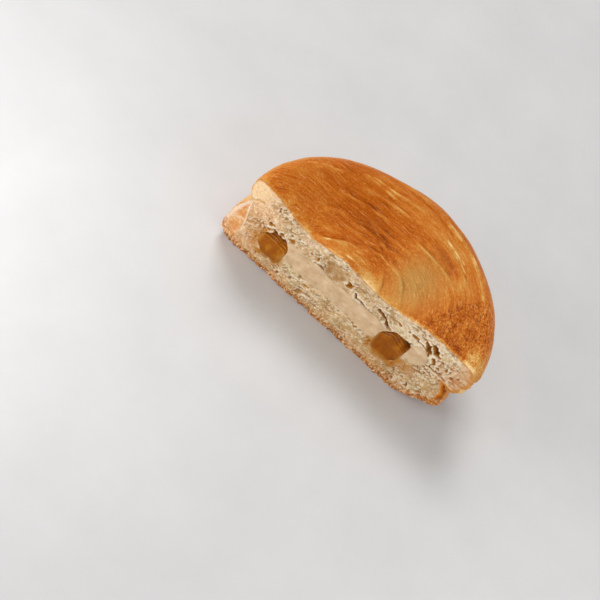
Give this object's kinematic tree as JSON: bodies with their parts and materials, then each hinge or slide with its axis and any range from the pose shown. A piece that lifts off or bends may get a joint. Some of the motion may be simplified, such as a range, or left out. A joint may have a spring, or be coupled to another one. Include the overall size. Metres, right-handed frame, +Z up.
{
  "type": "filled swirl bread half",
  "caption": "Half of a round, flat-topped swirl bread with a cream layer and fruit pieces showing at the cut, lying on its baked bottom.",
  "frame": {"origin": "middle of the footprint, on the surface that the half lies on", "axes": "+X along the cut, +Y from the cut face to the round back, +Z up"},
  "size_m": [0.109, 0.0544, 0.041],
  "materials": {
    "crust": "browned satin bread crust outside, pale open crumb at the cut",
    "cream": "smooth pale beige cream",
    "fruit": "wet, see-through amber stewed fruit"
  },
  "bodies": {
    "root": {"bread": "crust", "cream": "cream", "fruit_left": "fruit", "fruit_right": "fruit"}
  },
  "joints": []
}
